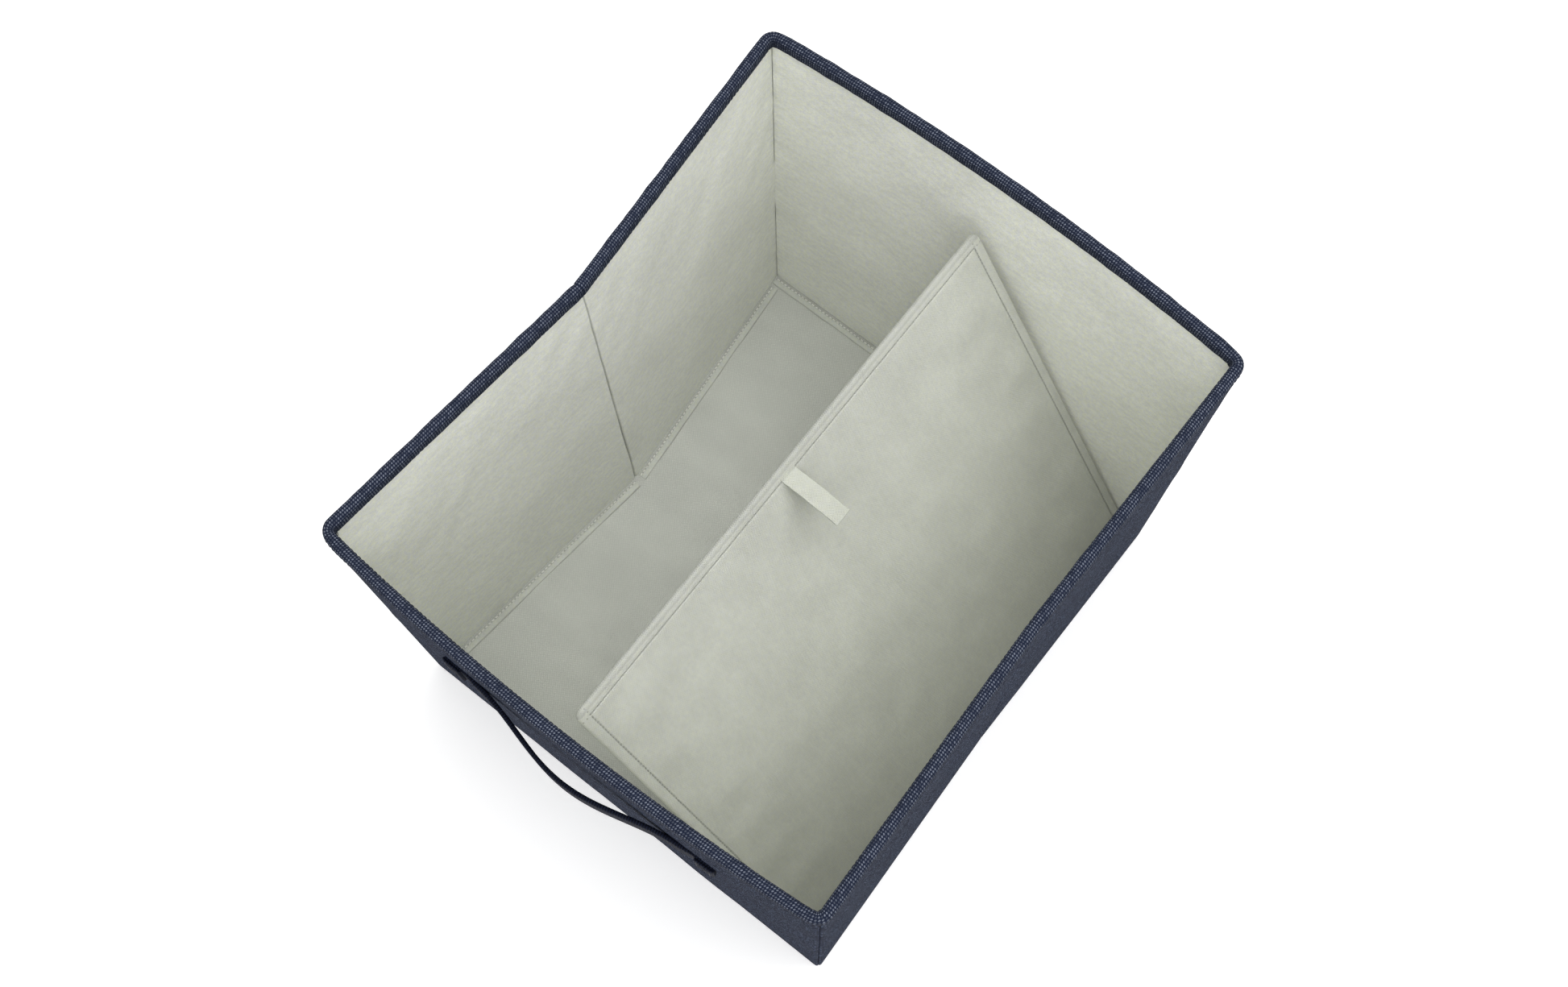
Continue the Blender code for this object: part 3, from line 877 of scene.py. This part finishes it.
def ground():
    for half in RUNS:
        ground_cloth(f"{half}_floor_lining", half, 0.0, 0.0021, floor_ripple, FLOOR_LINING, 0.0005, "lining",
                     "floor_lining")
        ground_cloth(f"{half}_base_cover", half, -0.0006, 0.00045, base_ripple, OUTER, 0.0007, "outer_cloth",
                     "base_cover")


# Share of the seam's width from the wall, and share of its thickness.
SEAM_PROFILE = np.array((
    (0.0, -0.1), (0.04, 0.75), (0.12, 1.0), (0.2, 0.9), (SEAM_STITCHED, 0.7),
    (0.33, 0.9), (0.6, 1.0), (0.88, 1.0), (0.97, 0.8), (1.0, 0.1),
))
SEAM_GROOVE = 4  # the profile's point under the stitches


def floor_seams():
    """The doubled strip where the walls' lining is sewn to the floor, with its row of stitches."""
    for name, (start, end, _) in WALLS.items():
        base, _ = wall_ends(name)
        length = np.linalg.norm(base[1] - base[0])
        way = (base[1] - base[0]) / length
        inward = np.array((-way[1], way[0]))
        corner_trim = 0.0042 if name in ("front", "back") else 0.0122
        trims = [0.0022 if "crease" in corner else corner_trim for corner in (start, end)]
        places = np.linspace(trims[0], length - trims[1], round(length / 0.003))[:, None]
        share, lift = SEAM_PROFILE.T[:, None]
        wave = unevenness(places, 0.0, 71 + len(name), 0.03)
        reach = SEAM_STEP + SEAM_WIDTH * share + wave * 0.25 * MM * share
        z = 0.0024 + 1.05 * MM * lift + unevenness(places, share * 0.02, 72, 0.02) * 0.12 * MM * share
        plan = base[0] + way * places[..., None] + inward * reach[..., None]
        points = raised(plan, z)
        strip = lay(f"{name}_seam_allowance", points, joined(places, reach), SEAM_LINING, thick=0.0006,
                    side=-1.0)
        belong(strip, "lining", f"{name}_floor_seam", body=wall_body(name))
        groove = points[:, SEAM_GROOVE] + UP * 0.05 * MM
        stitches = sew(f"{name}_seam_stitches", groove, UP, PALE_THREAD, 0.0032, 0.0024, 0.42 * MM, 73,
                       sink=0.55)
        belong(stitches, "lining", body=wall_body(name))


# ---- insert


INSERT_ALONG = np.array((-cos(INSERT_TILT), 0.0, sin(INSERT_TILT)))
INSERT_UP = np.array((sin(INSERT_TILT), 0.0, cos(INSERT_TILT)))
ACROSS = np.array((0.0, 1.0, 0.0))
EDGE_LINES = np.array((
    0.0, 0.15, 0.5, 1.0, 1.7, 2.6, 3.8, 5.0, 5.8, 6.2, 6.6, 7.0, 7.4, 7.8, 8.3, 9.2, 11.0, 14.0,
)) * MM


def on_insert(s, y, h):
    """The point s up the insert from its lower edge, at y, and h above its top face."""
    return INSERT_PIVOT + INSERT_ALONG * s[..., None] + ACROSS * y[..., None] + INSERT_UP * h[..., None]


def edged(low, high, step):
    """Places from low to high, close together near both ends."""
    middle = np.linspace(low + EDGE_LINES[-1], high - EDGE_LINES[-1], round((high - low) / step))
    return np.concatenate((low + EDGE_LINES[:-1], middle, (high - EDGE_LINES[:-1])[::-1]))


def panel_height(s, y, deep, seed, slack, pucker):
    """(s, y, h) of one face of the insert: rolled edges, a stitched groove inside the hem, soft cloth."""
    corner = 0.0055
    to_s = np.minimum(s, INSERT_WIDTH - s)
    to_y = np.minimum(y - INSERT_FRONT, INSERT_BACK - y)
    a, b = np.maximum(corner - to_s, 0), np.maximum(corner - to_y, 0)
    ring = np.maximum(a, b)
    shrink = np.where(ring > 0, ring / np.maximum(np.hypot(a, b), 1e-9), 1.0)
    s = s + np.sign(s - INSERT_WIDTH / 2) * a * (shrink - 1)
    y = y + np.sign(y - (INSERT_FRONT + INSERT_BACK) / 2) * b * (shrink - 1)
    edge = np.minimum(to_s, to_y)
    half = INSERT_THICK / 2
    inside = np.clip(half - edge, 0, half)
    roll = np.sqrt(np.maximum(half * half - inside * inside, 0)) - half
    swells = 0.12 * MM * (bump(edge, 0.0044, 0.0017) + bump(edge, 0.0092, 0.0014))
    groove = -deep * bump(edge, HEM, 0.0005)
    inner = smooth(edge, 0.009, 0.035)
    soft = unevenness(s, y, seed, 0.15) * slack + unevenness(s * 1.4, y, seed + 1, 0.045) * slack * 0.12
    drawn = unevenness(s, y * 0.3, seed + 2, 0.032, 4) * smooth(edge, HEM, 0.016)
    drawn = drawn * (1 - smooth(to_y, 0.02, 0.08))
    return s, y, roll + swells + groove + soft * inner + drawn * pucker


def insert():
    step = 0.0042
    s = edged(0.0, INSERT_WIDTH, step)[:, None]
    y = edged(INSERT_FRONT, INSERT_BACK, step)[None]
    s, y = np.broadcast_arrays(s, y)
    top_s, top_y, top_h = panel_height(s, y, 0.42 * MM, 81, 0.30 * MM, 0.45 * MM)
    low_s, low_y, low_h = panel_height(s, y, 0.55 * MM, 91, 0.12 * MM, 0.05 * MM)
    top = on_insert(top_s, top_y, top_h)
    bottom = on_insert(low_s, low_y, -INSERT_THICK - low_h)
    points = np.concatenate((top, bottom[:, ::-1]), axis=1)
    below = joined(s, y[:, ::-1] + (INSERT_BACK - INSERT_FRONT) * 1.01)
    cut = np.concatenate((joined(s, y), below[:, ::-1]), axis=1)
    panel = lay("insert_cloth", points, cut, PANEL_LINING, weld=True)
    belong(panel, "lining", "insert_top_cover", "insert_bottom_cover", body="insert")
    margin, half = 0.0025, 0.0011
    front, back = INSERT_FRONT + margin, INSERT_BACK - margin
    ring_y = np.array((front, back, back, front))
    ring_h = np.array((half, half, -half, -half)) - INSERT_THICK / 2
    rows = np.linspace(margin, INSERT_WIDTH - margin, 5)[:, None]
    rings = on_insert(*np.broadcast_arrays(rows, ring_y, ring_h))
    board = tube("insert_stiffener", rings, BOARD)
    board.data.set_sharp_from_angle(angle=radians(30))
    belong(board, "grey_board", "insert_board", body="insert")
    far_s, near_s = INSERT_WIDTH - HEM, HEM
    far_y, near_y = INSERT_BACK - HEM, INSERT_FRONT + HEM
    corners = ((far_s, near_y), (far_s, far_y), (near_s, far_y), (near_s, near_y))
    for k, (here, there) in enumerate(zip(corners, corners[1:] + corners[:1])):
        line = np.linspace(here, there, 160)
        for face, h, up in (("top", -0.24 * MM, INSERT_UP), ("under", -INSERT_THICK + 0.25 * MM, -INSERT_UP)):
            spots = on_insert(line[:, 0], line[:, 1], np.full(len(line), h))
            stitches = sew(f"insert_{face}_stitches_{k}", spots, up, PANEL_THREAD, PANEL_STITCH, 0.0021,
                           0.26 * MM, 82 + k)
            belong(stitches, "lining", body="insert")


def pull_tab():
    """A strip folded double: out along the lower layer, round the tip and back along the upper."""
    reach = np.linspace(0.0, TAB_LENGTH, 28)
    lift = TAB_LIFT + radians(9) * (1 - reach / TAB_LENGTH) - radians(7) * (reach / TAB_LENGTH)
    steps = np.diff(reach, prepend=0.0)
    along = np.cumsum(steps * -np.cos(lift))
    height = np.cumsum(steps * np.sin(lift))
    gap = 0.36 * MM + 0.25 * MM * bump(reach, TAB_LENGTH - 2.5 * MM, 3 * MM)
    normal_s, normal_h = np.sin(lift), np.cos(lift)
    s0, h0 = INSERT_WIDTH - TAB_FROM_EDGE, 0.25 * MM
    upper, lower = (joined(s0 + along + normal_s * off, h0 + height + normal_h * off) for off in (gap, -gap))
    root = np.array(((2.5, 0.05), (1.0, 0.25), (1.0, -0.4), (2.5, -0.55))) * MM + (s0, 0.0)
    turns = np.linspace(pi / 2, -pi / 2, 9)[1:-1]
    tip = (upper[-1] + lower[-1]) / 2
    forward = np.array((-cos(lift[-1]), sin(lift[-1])))
    outward = np.array((normal_s[-1], normal_h[-1]))
    tip_turn = np.array([tip + gap[-1] * (forward * cos(t) * 1.2 + outward * sin(t)) for t in turns])
    line = np.concatenate((root[:2], upper, tip_turn, lower[::-1], root[2:]))
    rows = distances(line)
    across = np.linspace(-0.5, 0.5, 9)
    y = TAB_Y + across[None] * TAB_WIDTH * (1 + 0.01 * unevenness(rows, 0.0, 95, 0.01))[:, None]
    crown = 0.12 * MM * (1 - (2 * across) ** 2)
    s, h = (np.broadcast_to(column[:, None], y.shape) for column in line.T)
    side = np.where(np.arange(len(line)) < len(line) / 2, 1.0, -1.0)[:, None]
    points = on_insert(s, y, h + side * crown)
    tab = lay("folded_pull_tab", points, joined(rows[:, None], y), TAB_LINING, thick=0.0005)
    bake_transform(tab)
    belong(tab, "lining", "pull_tab")


# ---- handles


def strap_face(x):
    """How far out the end walls' cover is at x, at the strap's height."""
    rise = STRAP_Z / HEIGHT
    ends = [np.array(BASE[c]) * (1 - rise) + np.array(RIM[c]) * rise for c in ("front_left", "front_right")]
    part = x / (ends[1][0] - ends[0][0]) + 0.5
    middle = ends[0][1] + (ends[1][1] - ends[0][1]) * part
    return -middle + END_BOW * rise * 4 * part * (1 - part) + 0.0022


def strap_bow(x):
    return np.where(np.abs(x) < STRAP_LEAVES, STRAP_BOW * (1 + np.cos(pi * x / STRAP_LEAVES)) / 2, 0.0)


def strap_section():
    """The strap's section: flat faces and rounded selvedges."""
    bend, turn = STRAP_THICK / 2, np.linspace(-pi / 2, pi / 2, 7)
    edge = joined(STRAP_WIDTH / 2 - bend + bend * np.cos(turn), bend * np.sin(turn))
    return np.concatenate((edge, -edge))


def pressed(x):
    """The share of the strap's thickness at x: its sewn ends are pressed flat."""
    return 1 - (1 - STRAP_PRESSED) * smooth(np.abs(x), STRAP_LEAVES - 0.004, STRAP_LEAVES + 0.006)


def strap(name, x, middle, side, sway):
    """A stretch of strap through these places. sway lets its edges wave a little."""
    section = strap_section()
    normal = unit(joined(-np.gradient(middle, x), 1.0))
    z = STRAP_Z + section[None, :, 0] + sway[:, None]
    t = section[None, :, 1] * pressed(x)[:, None]
    px = x[:, None] + normal[:, :1] * t
    py = middle[:, None] + normal[:, 1:] * t
    piece = tube(name, joined(px, side * py, z), WEBBING)
    flat = (STRAP_WIDTH, float(distances(joined(x, middle))[-1]))
    return piece, flat


def handles():
    for place, side in (("front", -1), ("back", 1)):
        for hand, sign in (("left", -1), ("right", 1)):
            x = sign * np.linspace(STRAP_END - 0.0006, 0.0, 60)
            middle = strap_face(x) + STRAP_OFF + STRAP_THICK * pressed(x) / 2 + strap_bow(x)
            sway = 0.25 * MM * unevenness(x, 0.0, 101, 0.05) * (1 - smooth(np.abs(x), 0.05, 0.08))
            name = f"{place}_strap_{hand}"
            half, flat = strap(name, x, middle, side, sway)
            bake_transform(half)
            grip = [f"{place}_handle_grip"] if sign < 0 else []
            belong(half, "webbing", f"{place}_handle_{hand}_end", *grip)
            # The end is folded back over itself and sewn through.
            x = sign * np.linspace(STRAP_FOLD, STRAP_END, 24)
            turn = smooth(np.abs(x), STRAP_END - 0.0016, STRAP_END + 0.0004)
            middle = strap_face(x) + STRAP_OFF + STRAP_THICK * STRAP_PRESSED * (1.5 - 0.55 * turn)
            fold, flat = strap(f"{name}_fold", x, middle, side, 0 * x)
            belong(fold, "webbing", body="root")
            box_stitch(f"{name}_box", sign, side)


def box_stitch(name, sign, side):
    """The sewn box with a cross that holds a strap's folded end."""
    near, far = STRAP_FOLD + 0.0018, STRAP_END - 0.0022
    low, high = STRAP_Z - STRAP_WIDTH / 2 + 0.0022, STRAP_Z + STRAP_WIDTH / 2 - 0.0022
    corners = ((near, low), (far, low), (far, high), (near, high), (near, low), (far, high), (far, low),
               (near, high))
    for k, (here, there) in enumerate(zip(corners, corners[1:])):
        line = np.linspace(here, there, 12)
        x = sign * line[:, 0]
        y = side * (strap_face(x) + STRAP_OFF + 2 * STRAP_THICK * STRAP_PRESSED)
        stitches = sew(f"{name}_{k}", joined(x, y, line[:, 1]), (0.0, side, 0.0), NAVY_THREAD, 0.0026, 0.0019,
                       0.30 * MM, 111 + k)
        belong(stitches, "webbing", body="root")


# ---- stage


FLOOR_HALF = 6.0
HORIZON, SKY = 0.80, 0.06
LAMP_AWAY = 2.0
LAMP_TARGET = Vector((0.0, 0.0, 0.2))
LAMP_WIDTH = 2.4
# Azimuth from the handle wall's side, turning to the right, and elevation, in degrees; watts.
LAMPS = (
    ("top", 0, 90, 20.0),
    ("front", 0, 70, 11.5),
    ("right", 116, 70, 18.0),
    ("back", 180, 70, 11.5),
    ("low_front_right", 45, 42, 13.5),
)


def stage():
    mesh = bpy.data.meshes.new("floor")
    corners = [(x * FLOOR_HALF, y * FLOOR_HALF, 0) for x, y in ((-1, -1), (1, -1), (1, 1), (-1, 1))]
    mesh.from_pydata(corners, [], [(0, 1, 2, 3)])
    floor = put_in_scene(mesh)
    floor.location.z = -0.0003
    material = bpy.data.materials.new("studio_floor")
    material.use_nodes = True
    fill(material.node_tree.nodes["Principled BSDF"], {
        "Base Color": (0.96, 0.96, 0.96, 1.0), "Roughness": 0.9, "Specular IOR Level": 0.1,
        "Emission Color": (1.0, 1.0, 1.0, 1.0), "Emission Strength": 0.26,
    })
    mesh.materials.append(material)

    world = bpy.data.worlds.new("studio")
    world.use_nodes = True
    nodes = world.node_tree.nodes
    way = nodes.new("ShaderNodeTexCoord").outputs["Generated"]
    height = fill(nodes.new("ShaderNodeSeparateXYZ"), {0: way}).outputs["Z"]
    fade = fill(nodes.new("ShaderNodeMapRange"), {0: height, 1: 0.10, 2: 0.45, 3: HORIZON, 4: SKY})
    fade.interpolation_type = "SMOOTHSTEP"
    fill(nodes["Background"], {"Color": (1.0, 1.0, 1.0, 1.0), "Strength": fade.outputs[0]})
    bpy.context.scene.world = world

    for name, azimuth, elevation, power in LAMPS:
        data = bpy.data.lights.new(name, "AREA")
        data.shape, data.size, data.energy = "DISK", LAMP_WIDTH, power
        lamp = put_in_scene(data)
        a, e = radians(azimuth), radians(elevation)
        way = Vector((sin(a) * cos(e), -cos(a) * cos(e), sin(e)))
        lamp.location = LAMP_TARGET + way * LAMP_AWAY
        lamp.rotation_euler = way.to_track_quat("Z", "Y").to_euler()

    lens = bpy.data.cameras.new("photo_view")
    lens.sensor_width, lens.lens = 36.0, 42.4476
    lens.clip_start, lens.clip_end = 0.01, 50.0
    camera = put_in_scene(lens)
    camera.location = (0.19665, -0.24683, 1.24862)
    camera.rotation_euler = [radians(angle) for angle in (17.4064, 0.4095, 38.0998)]
    bpy.context.scene.camera = camera
    bpy.context.scene.view_settings.view_transform = "Standard"


walls()
floor_seams()
ground()
insert()
pull_tab()
handles()
stage()
